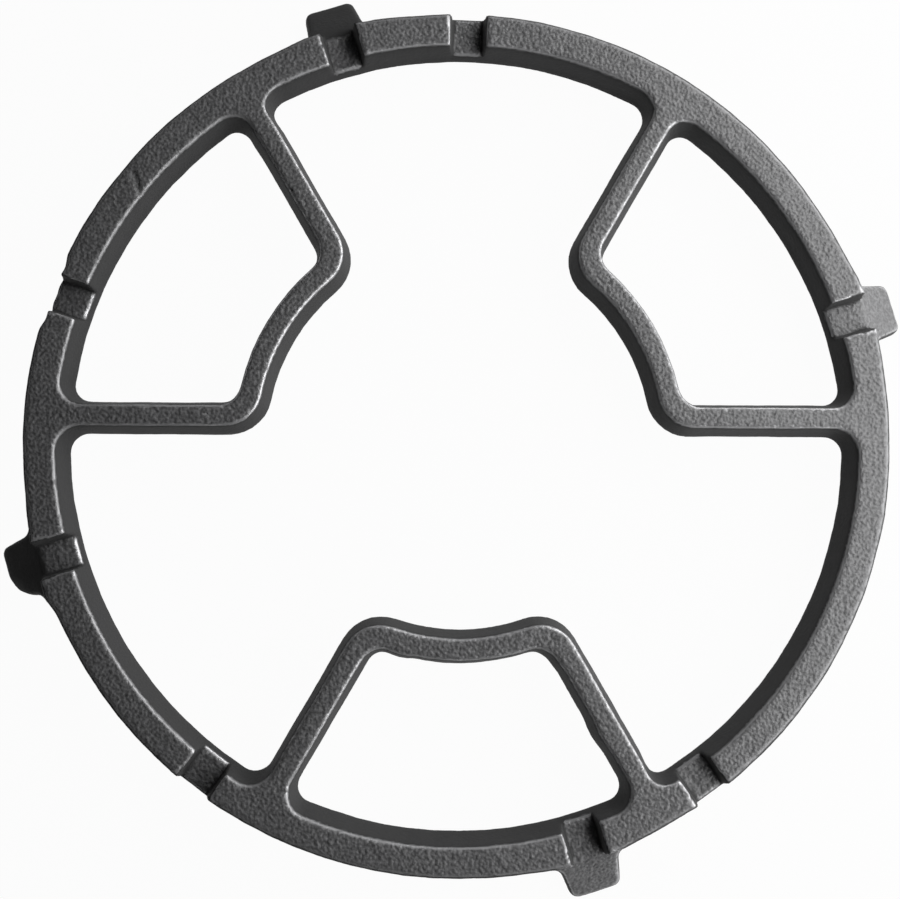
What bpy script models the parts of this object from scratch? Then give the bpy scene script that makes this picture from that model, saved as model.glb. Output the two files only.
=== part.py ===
"""Cast iron wok ring: a notched ring with three arched brackets and four sloping ears, in one casting.

The notched face looks up and the ears point down, so the casting stands on the feet of its ears.
"""

import math

import bmesh
import bpy
from mathutils import Matrix, Vector

# Ring: widths and radii of the whole casting are taken on the notched face, before its edges are rounded
RING_OUTER_RADIUS = 0.1200
RING_WIDTH = 0.0083
RING_HEIGHT = 0.0100
DRAFT_ANGLE = math.radians(10.5)
FACE_EDGE_RADIUS = 0.0011
PAN_EDGE_RADIUS = 0.0008

# Brackets: arches that reach in from the ring, each with two straight arms and a curved bar
BRACKET_COUNT = 3
FIRST_BRACKET_ANGLE = math.radians(30.0)
ARM_ANGLE = math.radians(30.0)
ARM_WIDTH = 0.0056
ARM_OFFSET = 0.0048
BAR_RADIUS = 0.0592
BAR_WIDTH = 0.0058
ARCH_CORNER_RADIUS = 0.0103
WINDOW_CORNER_RADIUS = 0.0068
OPENING_ROOT_RADIUS = 0.0070
WINDOW_ROOT_RADIUS = 0.0063

# Notches: one set for hobs with five fingers and one for hobs with four, which share the first notch
NOTCH_START_ANGLE = math.radians(17.0)
NOTCH_SETS = (5, 4)
EAR_COUNT = 4
NOTCH_DEPTH = 0.0058
NOTCH_FLOOR_WIDTH = 0.0089
NOTCH_WALL_ANGLE = math.radians(8.0)
NOTCH_EDGE_RADIUS = 0.0006
NOTCH_FILLET_RADIUS = 0.0006

# Ears: tongues that carry on from the notches of the second set and slope down past the pan face
EAR_REACH = 0.0142
EAR_START = 0.0016
EAR_SLOPE = math.radians(35.0)
EAR_TIP_WIDTH = 0.0138
EAR_ROOT_WIDTH = 0.0162
EAR_THICKNESS = 0.0036
EAR_FLARE_RADIUS = 0.0030
EAR_TIP_CORNER_RADIUS = 0.0020
EAR_EDGE_RADIUS = 0.0010
EAR_CREST_RADIUS = 0.0025
FOOT_LENGTH = 0.0028
SWELL_HEIGHT = 0.0009
SWELL_LENGTH = 0.0180

# Added and cut shapes run on past the surfaces that they cross, and leave them at a small angle
OVERRUN = 0.0030
LEAD_ANGLE = math.radians(8.0)

# Fineness of the faceted surfaces
CHORD_ERROR = 0.00006
EDGE_SEGMENTS = 3
TIP_SEGMENTS = 4
TIP_END_ANGLE = math.radians(75.0)
LEAST_FLAT_SHARE = 0.2
SHARP_ANGLE = math.radians(35.0)

# Places that follow from the sizes: heights are counted from the feet, depths from the notched face
RING_INNER_RADIUS = RING_OUTER_RADIUS - RING_WIDTH
DRAFT = math.tan(DRAFT_ANGLE)
EAR_FALL = math.tan(EAR_SLOPE)
EAR_CREST = RING_OUTER_RADIUS + EAR_START
EAR_TIP = RING_OUTER_RADIUS + EAR_REACH
FOOT_START = EAR_TIP - FOOT_LENGTH
FACE_HEIGHT = NOTCH_DEPTH + (FOOT_START - EAR_CREST) * EAR_FALL + EAR_THICKNESS / math.cos(EAR_SLOPE)
PAN_FACE_HEIGHT = FACE_HEIGHT - RING_HEIGHT
EAR_ROOT = RING_OUTER_RADIUS + SWELL_HEIGHT + DRAFT * NOTCH_DEPTH


def clear_scene():
    for scene_object in list(bpy.data.objects):
        bpy.data.objects.remove(scene_object, do_unlink=True)


def cast_iron_material():
    material = bpy.data.materials.new("cast_iron")
    material.use_nodes = True
    shader = material.node_tree.nodes["Principled BSDF"]
    shader.inputs["Base Color"].default_value = (0.045, 0.045, 0.047, 1.0)
    shader.inputs["Metallic"].default_value = 0.25
    shader.inputs["Roughness"].default_value = 0.55
    return material


def arc_steps(radius, sweep):
    step = 2.0 * math.acos(1.0 - CHORD_ERROR / radius)
    return max(2, math.ceil(abs(sweep) / step))


def arc(centre, radius, start, end, outward):
    """Points of an arc with the normal that leaves the metal: away from the centre if outward is 1."""
    steps = arc_steps(radius, end - start)
    points = []
    for index in range(steps + 1):
        angle = start + (end - start) * index / steps
        direction = Vector((math.cos(angle), math.sin(angle)))
        points.append((centre + radius * direction, outward * direction))
    return points


def mirrored(points):
    """The same points reflected in the bracket's centre line, in the opposite order."""
    flip = Vector((1.0, -1.0))
    return [(point * flip, normal * flip) for point, normal in reversed(points)]


def turned(points, angle):
    turn = Matrix.Rotation(angle, 2)
    return [(turn @ point, turn @ normal) for point, normal in points]


def point_beside_arm(distance, offset):
    """A point this far from the ring's axis and this far out from the arm's radial guide line."""
    along = Vector((math.cos(ARM_ANGLE), math.sin(ARM_ANGLE)))
    across = Vector((-math.sin(ARM_ANGLE), math.cos(ARM_ANGLE)))
    return along * math.sqrt(distance ** 2 - offset ** 2) + across * offset


def polar_angle(point):
    return math.atan2(point.y, point.x)


def half_arch():
    """The outer side of a bracket, from the middle of its bar to the ring, with the bracket along +X."""
    bar_edge = BAR_RADIUS - BAR_WIDTH / 2.0
    side = ARM_WIDTH / 2.0 - ARM_OFFSET
    corner = point_beside_arm(bar_edge + ARCH_CORNER_RADIUS, side - ARCH_CORNER_RADIUS)
    root = point_beside_arm(RING_INNER_RADIUS - OPENING_ROOT_RADIUS, side + OPENING_ROOT_RADIUS)
    across = ARM_ANGLE + math.pi / 2.0
    points = arc(Vector((0.0, 0.0)), bar_edge, 0.0, polar_angle(corner), -1.0)[:-1]
    points += arc(corner, ARCH_CORNER_RADIUS, polar_angle(corner) + math.pi, across, 1.0)
    points += arc(root, OPENING_ROOT_RADIUS, across - math.pi, polar_angle(root), -1.0)
    return points, polar_angle(root)


def half_window():
    """Half of the hole inside a bracket, from the middle of its bar to the middle of the ring's stretch."""
    bar_edge = BAR_RADIUS + BAR_WIDTH / 2.0
    side = -ARM_WIDTH / 2.0 - ARM_OFFSET
    corner = point_beside_arm(bar_edge + WINDOW_CORNER_RADIUS, side - WINDOW_CORNER_RADIUS)
    root = point_beside_arm(RING_INNER_RADIUS - WINDOW_ROOT_RADIUS, side - WINDOW_ROOT_RADIUS)
    across = ARM_ANGLE + math.pi / 2.0
    points = arc(Vector((0.0, 0.0)), bar_edge, 0.0, polar_angle(corner), 1.0)[:-1]
    points += arc(corner, WINDOW_CORNER_RADIUS, polar_angle(corner) + math.pi, across, -1.0)
    points += arc(root, WINDOW_ROOT_RADIUS, across, polar_angle(root), -1.0)[:-1]
    points += arc(Vector((0.0, 0.0)), RING_INNER_RADIUS, polar_angle(root), 0.0, -1.0)
    return points


def bracket_angles():
    return [FIRST_BRACKET_ANGLE + math.tau * index / BRACKET_COUNT for index in range(BRACKET_COUNT)]


def opening_contour():
    """The edge of the middle opening, round the three brackets and the ring between them."""
    arch, root_angle = half_arch()
    pitch = math.tau / BRACKET_COUNT
    contour = []
    for angle in bracket_angles():
        whole_arch = mirrored(arch)[:-1] + arch
        contour += turned(whole_arch, angle)[:-1]
        start = angle + root_angle
        end = angle + pitch - root_angle
        contour += arc(Vector((0.0, 0.0)), RING_INNER_RADIUS, start, end, -1.0)[:-1]
    return contour


def window_contour(angle):
    window = half_window()
    return turned(mirrored(window)[:-1] + window[:-1], angle)


def rim_swell(angle):
    """How far the rim stands out of its circle here: it swells gently towards the sides of each ear."""
    pitch = math.tau / EAR_COUNT
    from_ear = abs((angle - NOTCH_START_ANGLE + pitch / 2.0) % pitch - pitch / 2.0)
    from_side = max(0.0, RING_OUTER_RADIUS * from_ear - EAR_ROOT_WIDTH / 2.0)
    return SWELL_HEIGHT * max(0.0, 1.0 - from_side / SWELL_LENGTH) ** 2


def rim_contour():
    circle = arc(Vector((0.0, 0.0)), RING_OUTER_RADIUS, 0.0, math.tau, 1.0)[:-1]
    return [(point + rim_swell(polar_angle(point)) * normal, normal) for point, normal in circle]


def plan_contours():
    return [rim_contour(), opening_contour()] + [window_contour(angle) for angle in bracket_angles()]


def face_edge_arc(start_angle):
    """Rounded edge of a wall below a level face: growth of the outline and drop below that face."""
    centre = FACE_EDGE_RADIUS * (DRAFT - 1.0 / math.cos(DRAFT_ANGLE))
    arc_points = []
    for index in range(EDGE_SEGMENTS + 1):
        angle = start_angle + (math.pi / 2.0 - start_angle) * index / EDGE_SEGMENTS
        growth = centre + FACE_EDGE_RADIUS * math.cos(angle)
        drop = FACE_EDGE_RADIUS * (1.0 - math.sin(angle))
        arc_points.append((growth, drop))
    return arc_points


def pan_edge_arc():
    """Rounded edge of the wall at the pan face: growth of the outline and height above that face."""
    centre = DRAFT * (RING_HEIGHT - PAN_EDGE_RADIUS) - PAN_EDGE_RADIUS / math.cos(DRAFT_ANGLE)
    arc_points = []
    for index in range(EDGE_SEGMENTS):
        angle = -math.pi / 2.0 + (math.pi / 2.0 + DRAFT_ANGLE) * index / (EDGE_SEGMENTS - 1)
        growth = centre + PAN_EDGE_RADIUS * math.cos(angle)
        height = PAN_EDGE_RADIUS * (1.0 + math.sin(angle))
        arc_points.append((growth, height))
    return arc_points


def wall_levels():
    """Growth of the outline and height of each level of the casting's walls, from the pan face up."""
    levels = [(growth, PAN_FACE_HEIGHT + height) for growth, height in pan_edge_arc()]
    levels += [(growth, FACE_HEIGHT - drop) for growth, drop in face_edge_arc(DRAFT_ANGLE)]
    return levels


def add_loop(mesh, points):
    return [mesh.verts.new(point) for point in points]


def bridge_loops(mesh, lower, upper):
    for index, vertex in enumerate(lower):
        following = (index + 1) % len(lower)
        mesh.faces.new((vertex, lower[following], upper[following], upper[index]))


def fill_loops(mesh, loops):
    """Close a level face that is bounded by one or more loops."""
    edges = []
    for loop in loops:
        for index, vertex in enumerate(loop):
            edges.append(mesh.edges.get((vertex, loop[(index + 1) % len(loop)])))
    bmesh.ops.triangle_fill(mesh, use_beauty=True, edges=edges)


def object_from_mesh(name, mesh):
    bmesh.ops.recalc_face_normals(mesh, faces=mesh.faces)
    data = bpy.data.meshes.new(name)
    mesh.to_mesh(data)
    mesh.free()
    new_object = bpy.data.objects.new(name, data)
    bpy.context.scene.collection.objects.link(new_object)
    return new_object


def make_casting():
    """The ring and its brackets, with drafted walls and rounded edges, before notches and ears."""
    mesh = bmesh.new()
    levels = wall_levels()
    pan_loops = []
    face_loops = []
    for contour in plan_contours():
        loops = []
        for growth, height in levels:
            grown = [point + growth * normal for point, normal in contour]
            loops.append(add_loop(mesh, [Vector((point.x, point.y, height)) for point in grown]))
        for lower, upper in zip(loops, loops[1:]):
            bridge_loops(mesh, lower, upper)
        pan_loops.append(loops[0])
        face_loops.append(loops[-1])
    fill_loops(mesh, pan_loops)
    fill_loops(mesh, face_loops)
    return object_from_mesh("wok_ring", mesh)


def profile_arc(centre, radius, start, end):
    points = []
    for index in range(EDGE_SEGMENTS + 1):
        angle = start + (end - start) * index / EDGE_SEGMENTS
        points.append(centre + radius * Vector((math.cos(angle), math.sin(angle))))
    return points


def half_notch_section():
    """Half of a notch across its width: sideways distance and height over the notched face."""
    lean = NOTCH_WALL_ANGLE
    slope = math.tan(lean)
    half_floor = NOTCH_FLOOR_WIDTH / 2.0
    half_mouth = half_floor + NOTCH_DEPTH * slope
    fillet_centre = Vector((
        half_floor + NOTCH_FILLET_RADIUS * (slope - 1.0 / math.cos(lean)),
        NOTCH_FILLET_RADIUS - NOTCH_DEPTH,
    ))
    edge_centre = Vector((
        half_mouth - NOTCH_EDGE_RADIUS * (slope - 1.0 / math.cos(lean)),
        -NOTCH_EDGE_RADIUS,
    ))
    points = profile_arc(fillet_centre, NOTCH_FILLET_RADIUS, -math.pi / 2.0, -lean)
    points += profile_arc(edge_centre, NOTCH_EDGE_RADIUS, math.pi - lean, math.pi / 2.0 + LEAD_ANGLE)
    points.append(points[-1] + Vector((OVERRUN, OVERRUN * math.tan(LEAD_ANGLE))))
    points.append(Vector((points[-1].x, OVERRUN)))
    return points


def rounded_floor_end():
    """Floor of a notch where it rolls over into the ring's wall: growth and drop below the floor."""
    end = face_edge_arc(DRAFT_ANGLE + LEAD_ANGLE)
    growth, drop = end[0]
    foot = (growth + OVERRUN * math.tan(DRAFT_ANGLE + LEAD_ANGLE), drop + OVERRUN)
    return [(foot[0] + OVERRUN, foot[1]), foot] + end


def crest_floor_end():
    """Floor of a notch where it rolls over into an ear: distance from the ring's axis and drop."""
    turn = EAR_SLOPE - LEAD_ANGLE
    start = EAR_CREST - EAR_CREST_RADIUS * math.tan(EAR_SLOPE / 2.0)
    stations = []
    for index in range(EDGE_SEGMENTS + 1):
        angle = turn * index / EDGE_SEGMENTS
        radius = start + EAR_CREST_RADIUS * math.sin(angle)
        stations.append((radius, EAR_CREST_RADIUS * (1.0 - math.cos(angle))))
    radius, drop = stations[-1]
    stations.append((radius + OVERRUN, drop + OVERRUN * math.tan(turn)))
    return stations


def notch_stations(with_ear):
    """Distance from the ring's axis and floor drop of each section along a notch."""
    growth_at_floor = DRAFT * NOTCH_DEPTH
    end = [(growth + growth_at_floor, drop) for growth, drop in rounded_floor_end()]
    stations = [(RING_INNER_RADIUS - growth, drop) for growth, drop in end]
    if with_ear:
        stations += crest_floor_end()
    else:
        stations += [(RING_OUTER_RADIUS + growth, drop) for growth, drop in reversed(end)]
    return stations


def add_tube(mesh, rings, placement):
    """A closed body through a row of sections, moved to its place."""
    loops = []
    for ring in rings:
        loops.append(add_loop(mesh, [placement @ Vector(point) for point in ring]))
    for lower, upper in zip(loops, loops[1:]):
        bridge_loops(mesh, lower, upper)
    mesh.faces.new(loops[0])
    mesh.faces.new(loops[-1])


def notch_angles():
    """Angle of every notch, and whether an ear carries on from it."""
    angles = {}
    for count in NOTCH_SETS:
        for index in range(count):
            turn = round(360.0 * index / count, 6)
            angles[turn] = angles.get(turn, False) or count == EAR_COUNT
    return [(NOTCH_START_ANGLE + math.radians(turn), angles[turn]) for turn in sorted(angles)]


def face_placement(angle):
    return Matrix.Rotation(angle, 4, "Z") @ Matrix.Translation((0.0, 0.0, FACE_HEIGHT))


def notch_section(radius, drop):
    """Section of a notch whose floor lies this much deeper than it does in the middle of the ring."""
    half = half_notch_section()
    deepening = (NOTCH_DEPTH + drop) / NOTCH_DEPTH
    outline = [Vector((-point.x, point.y)) for point in reversed(half)] + half
    return [(radius, point.x, min(point.y, point.y * deepening)) for point in outline]


def make_notch_cutters():
    mesh = bmesh.new()
    for angle, with_ear in notch_angles():
        sections = [notch_section(radius, drop) for radius, drop in notch_stations(with_ear)]
        add_tube(mesh, sections, face_placement(angle))
    return object_from_mesh("notch_cutters", mesh)


def ear_profile(radius):
    """Height of an ear's upper and lower side over the notched face, at a distance from the axis."""
    upper = -NOTCH_DEPTH - EAR_FALL * (radius - EAR_CREST)
    lower = -FACE_HEIGHT + EAR_FALL * max(0.0, FOOT_START - radius)
    return min(upper, EAR_EDGE_RADIUS - NOTCH_DEPTH), min(lower, EAR_EDGE_RADIUS - RING_HEIGHT)


def share_of_ear(radius):
    """How far along an ear this is, from 0 at the ring's wall to 1 at the ear's tip."""
    share = (radius - EAR_ROOT) / (EAR_TIP - EAR_ROOT)
    return min(1.0, max(0.0, share))


def ear_half_width(radius):
    """Half width of an ear's upper side, with its flare into the ring."""
    half_width = (EAR_ROOT_WIDTH + (EAR_TIP_WIDTH - EAR_ROOT_WIDTH) * share_of_ear(radius)) / 2.0
    run = min(EAR_FLARE_RADIUS, max(0.0, radius - EAR_ROOT))
    rest = EAR_FLARE_RADIUS - run
    return half_width + EAR_FLARE_RADIUS - math.sqrt(EAR_FLARE_RADIUS ** 2 - rest ** 2)


def tip_rounding(radius, rounding):
    """How far the ear's sides draw in near its tip, where its end is rounded by this much."""
    past = max(0.0, radius - (EAR_TIP - rounding))
    return rounding - math.sqrt(max(0.0, rounding ** 2 - past ** 2))


def ear_section(radius):
    """Section of an ear: a drafted bar with rounded edges, which leans with the ring's wall at its root."""
    upper, lower = ear_profile(radius)
    inset = tip_rounding(radius, EAR_EDGE_RADIUS)
    upper -= inset
    lower += inset
    edge = min(EAR_EDGE_RADIUS, (1.0 - LEAST_FLAT_SHARE) * (upper - lower) / 2.0)
    half_width = ear_half_width(radius) - tip_rounding(radius, EAR_TIP_CORNER_RADIUS)
    foot_width = half_width + DRAFT * (upper - lower - 2.0 * edge)
    half = profile_arc(Vector((foot_width - edge, lower + edge)), edge, -math.pi / 2.0, 0.0)
    half += profile_arc(Vector((half_width - edge, upper - edge)), edge, 0.0, math.pi / 2.0)
    outline = half + [Vector((-point.x, point.y)) for point in reversed(half)]
    lean = DRAFT * (1.0 - share_of_ear(radius))
    return [(radius + lean * (-point.y - NOTCH_DEPTH), point.x, point.y) for point in outline]


def ear_stations():
    """Distances from the axis at which an ear has a section: its bends, its flare and its rounded tip."""
    start = EAR_ROOT - OVERRUN
    upper_bend = EAR_CREST - EAR_EDGE_RADIUS / EAR_FALL
    lower_bend = FOOT_START - (PAN_FACE_HEIGHT + EAR_EDGE_RADIUS) / EAR_FALL
    stations = {start, EAR_ROOT, max(start, upper_bend), max(start, lower_bend), FOOT_START}
    for index in range(1, TIP_SEGMENTS + 1):
        flare_angle = math.pi / 2.0 * index / TIP_SEGMENTS
        stations.add(EAR_ROOT + EAR_FLARE_RADIUS * (1.0 - math.cos(flare_angle)))
    for index in range(TIP_SEGMENTS):
        tip_angle = math.pi / 2.0 * index / TIP_SEGMENTS
        stations.add(EAR_TIP - EAR_TIP_CORNER_RADIUS * (1.0 - math.sin(tip_angle)))
    stations.add(EAR_TIP - EAR_EDGE_RADIUS * (1.0 - math.sin(TIP_END_ANGLE)))
    return sorted(stations)


def make_ears():
    mesh = bmesh.new()
    for index in range(EAR_COUNT):
        angle = NOTCH_START_ANGLE + math.tau * index / EAR_COUNT
        add_tube(mesh, [ear_section(radius) for radius in ear_stations()], face_placement(angle))
    return object_from_mesh("ears", mesh)


def make_guide(guide):
    guide.hide_render = True
    guide.display_type = "WIRE"


def combine(target, guide, operation):
    make_guide(guide)
    modifier = target.modifiers.new(guide.name, "BOOLEAN")
    modifier.operation = operation
    modifier.object = guide


def make_wok_ring():
    casting = make_casting()
    casting.data.materials.append(cast_iron_material())
    combine(casting, make_ears(), "UNION")
    combine(casting, make_notch_cutters(), "DIFFERENCE")
    casting.data.shade_smooth()
    casting.data.set_sharp_from_angle(angle=SHARP_ANGLE)
    return casting


clear_scene()
make_wok_ring()
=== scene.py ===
"""Looks of a cast iron wok ring, lying with its notches up on a pale floor and seen from above.

Lengths are in metres and angles in degrees.
"""

import math

import bpy
import numpy as np
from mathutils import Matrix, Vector


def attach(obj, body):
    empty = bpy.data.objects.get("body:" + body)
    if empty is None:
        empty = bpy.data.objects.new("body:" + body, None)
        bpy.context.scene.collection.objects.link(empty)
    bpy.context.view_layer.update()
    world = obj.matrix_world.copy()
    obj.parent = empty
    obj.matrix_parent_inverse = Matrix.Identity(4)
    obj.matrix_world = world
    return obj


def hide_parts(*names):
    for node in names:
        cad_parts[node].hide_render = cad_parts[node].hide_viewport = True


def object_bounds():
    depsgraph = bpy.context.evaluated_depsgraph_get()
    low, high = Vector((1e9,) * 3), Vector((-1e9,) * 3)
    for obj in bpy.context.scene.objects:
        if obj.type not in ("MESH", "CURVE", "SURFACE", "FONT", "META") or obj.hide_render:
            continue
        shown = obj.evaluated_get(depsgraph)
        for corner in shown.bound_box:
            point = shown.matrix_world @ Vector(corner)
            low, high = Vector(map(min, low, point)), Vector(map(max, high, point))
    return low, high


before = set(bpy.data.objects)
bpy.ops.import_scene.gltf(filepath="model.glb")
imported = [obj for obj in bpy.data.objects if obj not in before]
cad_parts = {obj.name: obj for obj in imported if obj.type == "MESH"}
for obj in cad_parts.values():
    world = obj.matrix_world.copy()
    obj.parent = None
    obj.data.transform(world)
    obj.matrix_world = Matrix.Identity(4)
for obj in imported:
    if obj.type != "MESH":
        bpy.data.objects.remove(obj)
cad_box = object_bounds()
scene = bpy.context.scene


# The casting: one piece of grey iron, poured in a sand mould and not machined, so no wall or edge of it
# is quite true. Its level faces keep the grain of the sand, its drafted walls are matt black, and its
# edges are rubbed bright. It starts as the plain solid, with even faces and slightly eased edges.
VOXEL = 0.00040
EASING_FACTOR = 0.5
EASING_STEPS = 3


def apply_modifiers(shape):
    """Give an object the mesh that its modifiers make, with no modifier left on it."""
    depsgraph = bpy.context.evaluated_depsgraph_get()
    shape.data = bpy.data.meshes.new_from_object(shape.evaluated_get(depsgraph))
    shape.modifiers.clear()


def add_easing(shape, name, steps, group=""):
    """Ease the edges in this many steps, all over or where a vertex group says."""
    ease = shape.modifiers.new(name, "SMOOTH")
    ease.factor = EASING_FACTOR
    ease.iterations = steps
    ease.vertex_group = group


casting = bpy.data.objects.new("wok_ring_casting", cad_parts["wok_ring"].data.copy())
scene.collection.objects.link(casting)
remesh = casting.modifiers.new("even_faces", "REMESH")
remesh.mode = "VOXEL"
remesh.voxel_size = VOXEL
add_easing(casting, "soft_edges", EASING_STEPS)
apply_modifiers(casting)


# Its upper edges: the rim's is a little fuller than the solid's, and the bore's is a little off centre.
UPPER_START_SHARE = 0.5
RIM_START = 0.1165
RIM_RADIUS = 0.1205
RIM_FULLNESS = 0.00015
BORE_RADIUS = 0.1117
BORE_REACH = 0.0040
BORE_FULL_SHARE = 0.3
BORE_GAIN = 0.00015
BORE_SHIFT = 0.00045
BORE_SHIFT_ANGLE = 80.0


def vertex_vectors(mesh, name):
    """One vector for each vertex: its place, called co, or its normal."""
    values = np.empty(3 * len(mesh.vertices), np.float32)
    mesh.vertices.foreach_get(name, values)
    return values.reshape(-1, 3)


def move_vertices(mesh, places):
    mesh.vertices.foreach_set("co", places.ravel())
    mesh.update()


def radii_of(places):
    """How far each place is from the ring's axis."""
    return np.hypot(places[:, 0], places[:, 1])


def soft_step(values, low, high):
    """0 below the low value and 1 above the high one, with a smooth change between them."""
    share = np.clip((values - low) / (high - low), 0.0, 1.0)
    return share * share * (3.0 - 2.0 * share)


def upper_share(places, top):
    """0 in the lower part of the casting, and 1 at its notched face."""
    return soft_step(places[:, 2], UPPER_START_SHARE * top, top)


def shift_edges(mesh, top):
    """Fill out the rim's upper edge, and move the bore's upper edge off centre."""
    places = vertex_vectors(mesh, "co")
    radii = radii_of(places)
    turns = np.arctan2(places[:, 1], places[:, 0]) - math.radians(BORE_SHIFT_ANGLE)
    upper = upper_share(places, top)
    rim = upper * soft_step(radii, RIM_START, RIM_RADIUS)
    from_bore = np.abs(radii - BORE_RADIUS)
    bore = upper * (1.0 - soft_step(from_bore, BORE_FULL_SHARE * BORE_REACH, BORE_REACH))
    outward = RIM_FULLNESS * rim - bore * (BORE_GAIN + BORE_SHIFT * np.cos(turns))
    places[:, :2] *= (1.0 + outward / radii)[:, np.newaxis]
    move_vertices(mesh, places)


face_height = cad_box[1][2]
shift_edges(casting.data, face_height)


# Small places where this casting is fuller or leaner than a true one. A row is the angle of a radius, how
# far out on it and to the side of it the place is, how far from there the shift reaches, and how far it
# pushes the metal outwards and sideways.
SMALL_SHIFTS = (
    (197.0, 0.1345, 0.0072, 0.0070, -0.0013, -0.0013),
    (197.0, 0.1226, 0.0098, 0.0070, 0.0009, 0.0005),
    (107.0, 0.1225, -0.0088, 0.0030, -0.0008, 0.0000),
    (161.0, 0.1218, 0.0066, 0.0055, -0.0014, 0.0003),
    (161.0, 0.1216, 0.0000, 0.0050, -0.0006, 0.0000),
    (161.0, 0.1218, -0.0068, 0.0055, -0.0013, -0.0003),
    (300.3, 0.1070, 0.0000, 0.0060, 0.0010, -0.0006),
    (119.6, 0.1066, 0.0000, 0.0060, 0.0007, 0.0005),
    (125.8, 0.1040, 0.0000, 0.0080, -0.0004, 0.0004),
    (254.2, 0.0637, 0.0000, 0.0060, 0.0006, 0.0005),
    (291.0, 0.0672, 0.0000, 0.0060, 0.0005, -0.0005),
    (293.9, 0.0917, 0.0000, 0.0070, 0.0000, -0.0007),
)
NICK_START = (-0.0915, 0.0730)
NICK_END = (-0.0898, 0.0670)
NICK_HALF_WIDTH = 0.0012
NICK_DEPTH = 0.00040


def press(mesh, turn, radius, sideways, reach, push_out, push_sideways):
    """Shift the metal near one place, given and moved along and across the radius at this angle."""
    along = np.array((math.cos(math.radians(turn)), math.sin(math.radians(turn))))
    across = np.array((-along[1], along[0]))
    places = vertex_vectors(mesh, "co")
    far = np.linalg.norm(places[:, :2] - radius * along - sideways * across, axis=1)
    share = 1.0 - soft_step(far, 0.0, reach)
    places[:, :2] += share[:, np.newaxis] * (push_out * along + push_sideways * across)
    move_vertices(mesh, places)


def nick(mesh, top):
    """Sink the notched face a little along one short line."""
    places = vertex_vectors(mesh, "co")
    line = np.subtract(NICK_END, NICK_START)
    from_start = places[:, :2] - NICK_START
    share = np.clip(from_start @ line / (line @ line), 0.0, 1.0)
    far = np.linalg.norm(from_start - share[:, np.newaxis] * line, axis=1)
    depth = NICK_DEPTH * upper_share(places, top)
    places[:, 2] -= depth * (1.0 - soft_step(far, 0.0, NICK_HALF_WIDTH))
    move_vertices(mesh, places)


for shift in SMALL_SHIFTS:
    press(casting.data, *shift)
nick(casting.data, face_height)


# The rim's upper edge is rounded over, except at the notches. One set of five notches and one of four
# share the notch at the first ear.
FIRST_EAR_ANGLE = 17.0
NOTCH_PITCHES = (72.0, 90.0)
NOTCH_HALF_ANGLE = 3.4
RING_START = 0.1080
RIM_EDGE_FADE = 0.0010
RIM_EDGE_HEIGHT = 0.0035
RIM_EDGE_FULL_SHARE = 0.7
RIM_EASING_STEPS = 14
SHARE_STEPS = 20


def near_angles(places, angles, half_angle, least_radius):
    """Whether each place is outside this radius and within the half angle of one of the angles."""
    place_angles = np.degrees(np.arctan2(places[:, 1], places[:, 0]))
    near = np.zeros(len(places), bool)
    for angle in angles:
        near |= np.abs((place_angles - angle + 180.0) % 360.0 - 180.0) < half_angle
    return near & (radii_of(places) > least_radius)


def at_notches(places):
    """Whether each place is on the ring within a notch, or on an ear beyond one."""
    angles = np.concatenate([np.arange(FIRST_EAR_ANGLE, 360.0, pitch) for pitch in NOTCH_PITCHES])
    return near_angles(places, angles, NOTCH_HALF_ANGLE, RING_START)


def rim_share(mesh, top):
    """How far each point is part of the rim's upper edge, away from the notches."""
    places = vertex_vectors(mesh, "co")
    share = soft_step(radii_of(places), RIM_START, RIM_START + RIM_EDGE_FADE)
    lowest = top - RIM_EDGE_HEIGHT
    share *= soft_step(places[:, 2], lowest, top - RIM_EDGE_FULL_SHARE * RIM_EDGE_HEIGHT)
    return np.where(at_notches(places), 0.0, share)


def group_by_share(shape, name, shares):
    """A vertex group whose weights are these shares, in equal steps."""
    group = shape.vertex_groups.new(name=name)
    steps = np.round(shares * SHARE_STEPS).astype(int)
    for step in range(1, SHARE_STEPS + 1):
        members = np.nonzero(steps == step)[0]
        group.add(members.tolist(), step / SHARE_STEPS, "REPLACE")


group_by_share(casting, "rim_edge", rim_share(casting.data, face_height))
add_easing(casting, "round_rim", RIM_EASING_STEPS, "rim_edge")
apply_modifiers(casting)


# Its skin: grained on the level faces, rubbed bright on the edges, and black on the walls. Two of the
# ears are painted black all over as painted shade, with no grain and no rubbed edge. A pair of levels is
# how level the surface is where it starts to be of a kind, and where it is wholly of that kind, from 0 on
# an upright wall to 1 on a flat face.
EAR_PITCH = 90.0
EAR_HALF_ANGLE = 4.2
# The two ears farther round from the lamp, which are painted black as painted shade.
PAINTED_SHADE_EAR_ANGLES = (107.0, 197.0)
FACE_LEVELS = (0.90, 0.96)
RIM_FACE_LEVELS = (0.975, 0.995)
EAR_FACE_LEVELS = (0.70, 0.79)
EDGE_LEVELS = (0.50, 0.72)
RIM_EDGE_LEVELS = (0.86, 0.93)
LEAST_BULGE = 0.000002
FULL_BULGE = 0.000010
BORE_WEAR = 0.72
RIM_WEAR = 0.55


def bulges(mesh):
    """How far each point stands out from the mean of its neighbours, along its normal."""
    places = vertex_vectors(mesh, "co")
    ends = np.empty(2 * len(mesh.edges), np.int32)
    mesh.edges.foreach_get("vertices", ends)
    first, second = ends.reshape(-1, 2).T
    counts = np.bincount(ends, minlength=len(places))
    means = np.empty_like(places)
    for axis in range(3):
        sums = np.bincount(first, places[second, axis], len(places))
        sums += np.bincount(second, places[first, axis], len(places))
        means[:, axis] = sums / counts
    return np.sum((places - means) * vertex_vectors(mesh, "normal"), axis=1)


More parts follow.
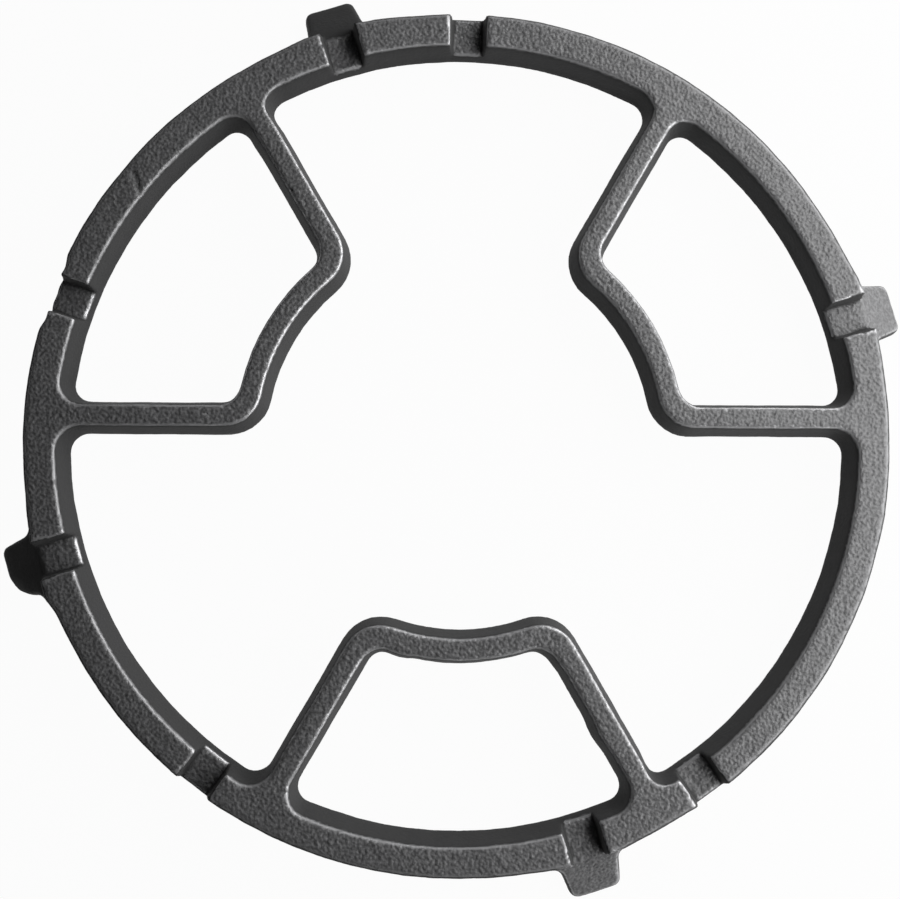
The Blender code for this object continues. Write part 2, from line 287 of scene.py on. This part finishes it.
def skin_shares(mesh):
    """How far each point belongs to a grained face and to a rubbed edge; the rest is black wall, or
    painted shade on two ears.
    """
    places = vertex_vectors(mesh, "co")
    radii = radii_of(places)
    level = np.abs(vertex_vectors(mesh, "normal")[:, 2])
    ear_angles = np.arange(FIRST_EAR_ANGLE, 360.0, EAR_PITCH)
    on_ear = near_angles(places, ear_angles, EAR_HALF_ANGLE, RIM_RADIUS)
    at_rim = ~on_ear & (radii > RIM_START)
    face = np.where(at_rim, soft_step(level, *RIM_FACE_LEVELS), soft_step(level, *FACE_LEVELS))
    face = np.where(on_ear, soft_step(level, *EAR_FACE_LEVELS), face)
    edge = np.where(at_rim, soft_step(level, *RIM_EDGE_LEVELS), soft_step(level, *EDGE_LEVELS))
    edge = np.maximum(0.0, edge - face)
    edge *= soft_step(bulges(mesh), LEAST_BULGE, FULL_BULGE)
    wear = np.where(radii > RIM_START, RIM_WEAR, np.where(radii > RING_START, BORE_WEAR, 1.0))
    wear[on_ear | at_notches(places)] = 1.0
    edge *= wear
    # Painted shade: these two ears get the walls' black, with no grain and no rubbed edge.
    painted_shade = near_angles(places, PAINTED_SHADE_EAR_ANGLES, EAR_HALF_ANGLE, RIM_RADIUS)
    face[painted_shade] = 0.0
    edge[painted_shade] = 0.0
    return face, edge


def keep_share(mesh, name, shares):
    """Store a share on each point, where the material reads it."""
    layer = mesh.attributes.new(name, "FLOAT", "POINT")
    layer.data.foreach_set("value", shares.astype(np.float32))


face_shares, edge_shares = skin_shares(casting.data)
keep_share(casting.data, "face_share", face_shares)
keep_share(casting.data, "edge_share", edge_shares)


# Its unevenness: long shallow waves all over, and the grain of the sand, which is weaker on the walls.
WAVE_LENGTH = 0.0110
WAVE_DEPTH = 0.00028
SWELL = 0.00012
GRAIN_LENGTH = 0.0009
GRAIN_DEPTH = 0.00040
WALL_GRAIN_SHARE = 0.2
LUMP_LAYERS = 1
TRIANGLE_LIMIT = 190000


def add_unevenness(shape, name, length, depth, group="", outward=0.0):
    """Push the surface out by this much, and in and out by half the depth in lumps of this length."""
    texture = bpy.data.textures.new(name, "CLOUDS")
    texture.noise_scale = length
    texture.noise_depth = LUMP_LAYERS
    modifier = shape.modifiers.new(name, "DISPLACE")
    modifier.texture = texture
    modifier.texture_coords = "LOCAL"
    modifier.strength = depth
    modifier.mid_level = 0.5 - outward / depth
    modifier.vertex_group = group


grain_shares = np.maximum(face_shares, WALL_GRAIN_SHARE * (1.0 - edge_shares))
group_by_share(casting, "grained", grain_shares)
add_unevenness(casting, "wavy_walls", WAVE_LENGTH, WAVE_DEPTH, outward=SWELL)
add_unevenness(casting, "sand_grain", GRAIN_LENGTH, GRAIN_DEPTH, "grained")
apply_modifiers(casting)

# Every face has four corners here, so it counts as two triangles.
thin = casting.modifiers.new("fewer_faces", "DECIMATE")
thin.ratio = min(1.0, TRIANGLE_LIMIT / (2.0 * len(casting.data.polygons)))
apply_modifiers(casting)

# The unevenness doesn't reach through the floor that the ears' feet stand on.
feet_height = cad_box[0][2]
places = vertex_vectors(casting.data, "co")
places[:, 2] = np.maximum(places[:, 2], feet_height)
move_vertices(casting.data, places)
casting.data.shade_smooth()


# Its material: a grained face has dark pits and paler crests, the walls are almost black, and the rubbed
# edges are part bare metal. Grit finer than the mesh can hold is a bump in the shading.
PIT_GREY = 0.083
CREST_GREY = 0.141
WALL_GREY = 0.023
EDGE_GREY = 0.480
BLUE_TINT = 1.02
FACE_ROUGHNESS = 0.50
WALL_ROUGHNESS = 0.85
EDGE_ROUGHNESS = 0.30
EDGE_METAL = 0.70
SKIN_GLOSS = 0.6
GRIT_LENGTH = 0.0009
GRIT_DETAIL = 0.5
GRIT_HEIGHT = 0.00030
GRIT_LOW = 0.34
GRIT_HIGH = 0.66


def grey(value):
    """A grey with a trace of blue."""
    return (value, value, value * BLUE_TINT, 1.0)


def stored_share(tree, name):
    """A share that keep_share stored on the mesh."""
    node = tree.nodes.new("ShaderNodeAttribute")
    node.attribute_name = name
    return node.outputs["Fac"]


def value_between(tree, share, low, high):
    """A value that goes from low to high with a share."""
    node = tree.nodes.new("ShaderNodeMapRange")
    node.inputs["To Min"].default_value = low
    node.inputs["To Max"].default_value = high
    tree.links.new(share, node.inputs["Value"])
    return node.outputs["Result"]


def colour_between(tree, share, low, high):
    """A colour that goes from low to high with a share; either may be another node's colour."""
    node = tree.nodes.new("ShaderNodeMix")
    node.data_type = "RGBA"
    tree.links.new(share, node.inputs[0])
    for socket, colour in ((node.inputs[6], low), (node.inputs[7], high)):
        if isinstance(colour, tuple):
            socket.default_value = colour
        else:
            tree.links.new(colour, socket)
    return node.outputs[2]


def product(tree, first, second):
    """A node's value times another node's value or a number."""
    node = tree.nodes.new("ShaderNodeMath")
    node.operation = "MULTIPLY"
    tree.links.new(first, node.inputs[0])
    if isinstance(second, float):
        node.inputs[1].default_value = second
    else:
        tree.links.new(second, node.inputs[1])
    return node.outputs[0]


def cast_iron_skin():
    material = bpy.data.materials.new("cast_iron_skin")
    material.use_nodes = True
    tree = material.node_tree
    shader = tree.nodes["Principled BSDF"]
    shader.inputs["Specular IOR Level"].default_value = SKIN_GLOSS
    face = stored_share(tree, "face_share")
    edge = stored_share(tree, "edge_share")

    place = tree.nodes.new("ShaderNodeTexCoord")
    grit = tree.nodes.new("ShaderNodeTexNoise")
    grit.inputs["Scale"].default_value = 1.0 / GRIT_LENGTH
    grit.inputs["Detail"].default_value = GRIT_DETAIL
    tree.links.new(place.outputs["Object"], grit.inputs["Vector"])

    crest = tree.nodes.new("ShaderNodeMapRange")
    crest.inputs["From Min"].default_value = GRIT_LOW
    crest.inputs["From Max"].default_value = GRIT_HIGH
    tree.links.new(grit.outputs["Fac"], crest.inputs["Value"])
    grained = colour_between(tree, crest.outputs["Result"], grey(PIT_GREY), grey(CREST_GREY))
    unrubbed = colour_between(tree, face, grey(WALL_GREY), grained)
    colour = colour_between(tree, edge, unrubbed, grey(EDGE_GREY))
    tree.links.new(colour, shader.inputs["Base Color"])
    tree.links.new(value_between(tree, edge, 0.0, EDGE_METAL), shader.inputs["Metallic"])

    roughness = tree.nodes.new("ShaderNodeMix")
    roughness.data_type = "FLOAT"
    tree.links.new(edge, roughness.inputs["Factor"])
    tree.links.new(value_between(tree, face, WALL_ROUGHNESS, FACE_ROUGHNESS), roughness.inputs["A"])
    roughness.inputs["B"].default_value = EDGE_ROUGHNESS
    tree.links.new(roughness.outputs["Result"], shader.inputs["Roughness"])

    bump = tree.nodes.new("ShaderNodeBump")
    bump.inputs["Distance"].default_value = GRIT_HEIGHT
    height = product(tree, grit.outputs["Fac"], value_between(tree, face, WALL_GRAIN_SHARE, 1.0))
    tree.links.new(height, bump.inputs["Height"])
    tree.links.new(bump.outputs["Normal"], shader.inputs["Normal"])
    return material


casting.data.materials.clear()
casting.data.materials.append(cast_iron_skin())
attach(casting, "root")
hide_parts("wok_ring")


# The floor: a wide plain sheet of pale board under the ears' feet. It looks almost white, and keeps the
# casting's shadow.
FLOOR_SIZE = 12.0
FLOOR_GREY = 0.45
FLOOR_ROUGHNESS = 0.9
FLOOR_WHITE_SHARE = 0.965


def larger(tree, first, second):
    """The larger of two nodes' values."""
    node = tree.nodes.new("ShaderNodeMath")
    node.operation = "MAXIMUM"
    tree.links.new(first, node.inputs[0])
    tree.links.new(second, node.inputs[1])
    return node.outputs[0]


def backdrop_share(tree, reflected):
    """1 where the camera sees a surface, also through glass, and this share in reflections."""
    path = tree.nodes.new("ShaderNodeLightPath")
    seen = larger(tree, path.outputs["Is Camera Ray"], path.outputs["Is Transmission Ray"])
    return larger(tree, seen, product(tree, path.outputs["Is Glossy Ray"], reflected))


def floor_material():
    """White to the camera and in reflections, but still a little darker where the casting shades it."""
    material = bpy.data.materials.new("pale_floor")
    material.use_nodes = True
    tree = material.node_tree
    shader = tree.nodes["Principled BSDF"]
    shader.inputs["Base Color"].default_value = grey(FLOOR_GREY)
    shader.inputs["Roughness"].default_value = FLOOR_ROUGHNESS
    shader.inputs["Specular IOR Level"].default_value = 0.0
    glow = tree.nodes.new("ShaderNodeEmission")
    blend = tree.nodes.new("ShaderNodeMixShader")
    tree.links.new(product(tree, backdrop_share(tree, 1.0), FLOOR_WHITE_SHARE), blend.inputs[0])
    tree.links.new(shader.outputs[0], blend.inputs[1])
    tree.links.new(glow.outputs[0], blend.inputs[2])
    tree.links.new(blend.outputs[0], tree.nodes["Material Output"].inputs["Surface"])
    return material


half = FLOOR_SIZE / 2.0
corners = [(-half, -half), (half, -half), (half, half), (-half, half)]
floor_mesh = bpy.data.meshes.new("floor")
floor_mesh.from_pydata([(x, y, feet_height) for x, y in corners], [], [(0, 1, 2, 3)])
floor = bpy.data.objects.new("floor", floor_mesh)
scene.collection.objects.link(floor)
floor.data.materials.append(floor_material())


# The lamp: one wide soft box, low on the right of the picture and close to the ring, so that the faces
# there are brighter than those on the left.
KEY_AZIMUTH = 10.0
KEY_ELEVATION = 33.0
KEY_DISTANCE = 0.30
KEY_WIDTH = 0.85
KEY_DEPTH = 0.3
KEY_WATTS = 2.80

azimuth = math.radians(KEY_AZIMUTH)
elevation = math.radians(KEY_ELEVATION)
key_direction = Vector((
    math.cos(elevation) * math.cos(azimuth),
    math.cos(elevation) * math.sin(azimuth),
    math.sin(elevation),
))
key_data = bpy.data.lights.new("soft_key", "AREA")
key_data.shape = "RECTANGLE"
key_data.size = KEY_WIDTH
key_data.size_y = KEY_DEPTH
key_data.energy = KEY_WATTS
key = bpy.data.objects.new("soft_key", key_data)
scene.collection.objects.link(key)
key.visible_camera = False
key.location = KEY_DISTANCE * key_direction
key.rotation_euler = (-key_direction).to_track_quat("-Z", "Y").to_euler()


# The room: dim all round, and a little paler near the horizon. The camera sees it as plain white, but in
# the iron's gloss it stays dim.
ROOM_STRENGTH = 0.02
HORIZON_STRENGTH = 0.10
REFLECTED_ROOM = 0.03
HORIZON_TOP = 0.10
ROOM_START = 0.30


def room_world():
    """The room's light, which fades smoothly upwards from the horizon's strength to the room's."""
    world = bpy.data.worlds.new("room")
    world.use_nodes = True
    tree = world.node_tree
    place = tree.nodes.new("ShaderNodeTexCoord")
    parts = tree.nodes.new("ShaderNodeSeparateXYZ")
    fade = tree.nodes.new("ShaderNodeMapRange")
    fade.interpolation_type = "SMOOTHSTEP"
    fade.inputs["From Min"].default_value = HORIZON_TOP
    fade.inputs["From Max"].default_value = ROOM_START
    fade.inputs["To Min"].default_value = HORIZON_STRENGTH
    fade.inputs["To Max"].default_value = ROOM_STRENGTH
    tree.links.new(place.outputs["Generated"], parts.inputs[0])
    tree.links.new(parts.outputs["Z"], fade.inputs["Value"])
    background = tree.nodes["Background"]
    background.inputs["Color"].default_value = (1.0, 1.0, 1.0, 1.0)
    strength = larger(tree, fade.outputs["Result"], backdrop_share(tree, REFLECTED_ROOM))
    tree.links.new(strength, background.inputs["Strength"])
    return world


scene.world = room_world()
scene.view_settings.view_transform = "Standard"


# The camera: close above the ring, a little towards its near left, and tipped by about four degrees.
# Its place is counted from the middle of the notched face, and its turns are in degrees.
CAMERA_OVER_FACE = Vector((-0.010416, -0.025935, 0.296604))
CAMERA_TURN = (4.14952, -1.44466, 0.12809)
LENS = 43.06
SENSOR = 36.0
NEAREST_SEEN = 0.01

camera_data = bpy.data.cameras.new("camera")
camera_data.lens = LENS
camera_data.sensor_width = SENSOR
camera_data.clip_start = NEAREST_SEEN
camera = bpy.data.objects.new("camera", camera_data)
camera.location = CAMERA_OVER_FACE + Vector((0.0, 0.0, face_height))
camera.rotation_euler = [math.radians(turn) for turn in CAMERA_TURN]
scene.collection.objects.link(camera)
scene.camera = camera
